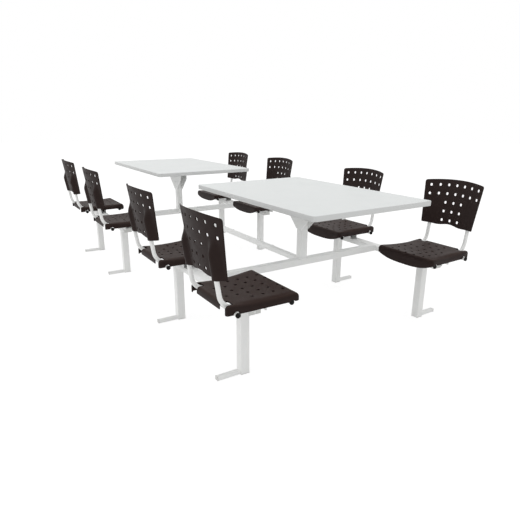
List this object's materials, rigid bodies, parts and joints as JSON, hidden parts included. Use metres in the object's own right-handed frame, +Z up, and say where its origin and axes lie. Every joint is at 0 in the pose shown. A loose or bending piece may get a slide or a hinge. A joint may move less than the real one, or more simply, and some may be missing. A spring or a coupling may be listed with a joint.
{
  "type": "cafeteria table cluster with fixed seats",
  "caption": "Cafeteria tables in line with fixed perforated plastic seats on both sides, all welded to one low steel frame on square pedestals; nothing folds or turns",
  "frame": {"origin": "on the floor, at the centre of the whole cluster, halfway between the two tables", "axes": "+Z up, +X along the row of tables, +Y across it towards one row of seats"},
  "size_m": [2.87, 1.7068, 0.8001],
  "materials": {
    "white_laminate": "melamine laminate on particle board, fine texture, satin",
    "edge_plastic": "pale grey plastic edging, satin",
    "white_steel": "white powder coat, semi-gloss",
    "brown_plastic": "dark brown moulded polypropylene, fine grain",
    "black_plastic": "black moulded plastic",
    "white_plastic": "pale moulded plastic"
  },
  "bodies": {
    "root": {"unit1_tabletop": "white_laminate", "unit1_edge_band": "edge_plastic", "unit1_top_bracket": "white_steel", "unit1_table_post": "white_steel", "unit1_cross_beam": "white_steel", "unit1_side_rail_left": "white_steel", "unit1_side_rail_right": "white_steel", "unit1_foot_bars": "white_steel", "unit1_seat_plates": "white_steel", "unit1_rod_caps": "black_plastic", "unit1_end_plugs": "white_plastic", "unit1_pedestal1": "white_steel", "unit1_seat1_frame": "white_steel", "unit1_seat1_shell": "brown_plastic", "unit1_seat1_back": "brown_plastic", "unit1_pedestal2": "white_steel", "unit1_seat2_frame": "white_steel", "unit1_seat2_shell": "brown_plastic", "unit1_seat2_back": "brown_plastic", "unit1_pedestal3": "white_steel", "unit1_seat3_frame": "white_steel", "unit1_seat3_shell": "brown_plastic", "unit1_seat3_back": "brown_plastic", "unit1_pedestal4": "white_steel", "unit1_seat4_frame": "white_steel", "unit1_seat4_shell": "brown_plastic", "unit1_seat4_back": "brown_plastic", "unit2_tabletop": "white_laminate", "unit2_edge_band": "edge_plastic", "unit2_top_bracket": "white_steel", "unit2_table_post": "white_steel", "unit2_cross_beam": "white_steel", "unit2_side_rail_left": "white_steel", "unit2_side_rail_right": "white_steel", "unit2_foot_bars": "white_steel", "unit2_seat_plates": "white_steel", "unit2_rod_caps": "black_plastic", "unit2_end_plugs": "white_plastic", "unit2_pedestal1": "white_steel", "unit2_seat1_frame": "white_steel", "unit2_seat1_shell": "brown_plastic", "unit2_seat1_back": "brown_plastic", "unit2_pedestal2": "white_steel", "unit2_seat2_frame": "white_steel", "unit2_seat2_shell": "brown_plastic", "unit2_seat2_back": "brown_plastic", "unit2_pedestal3": "white_steel", "unit2_seat3_frame": "white_steel", "unit2_seat3_shell": "brown_plastic", "unit2_seat3_back": "brown_plastic", "unit2_pedestal4": "white_steel", "unit2_seat4_frame": "white_steel", "unit2_seat4_shell": "brown_plastic", "unit2_seat4_back": "brown_plastic", "tie_beam": "white_steel"}
  },
  "joints": []
}
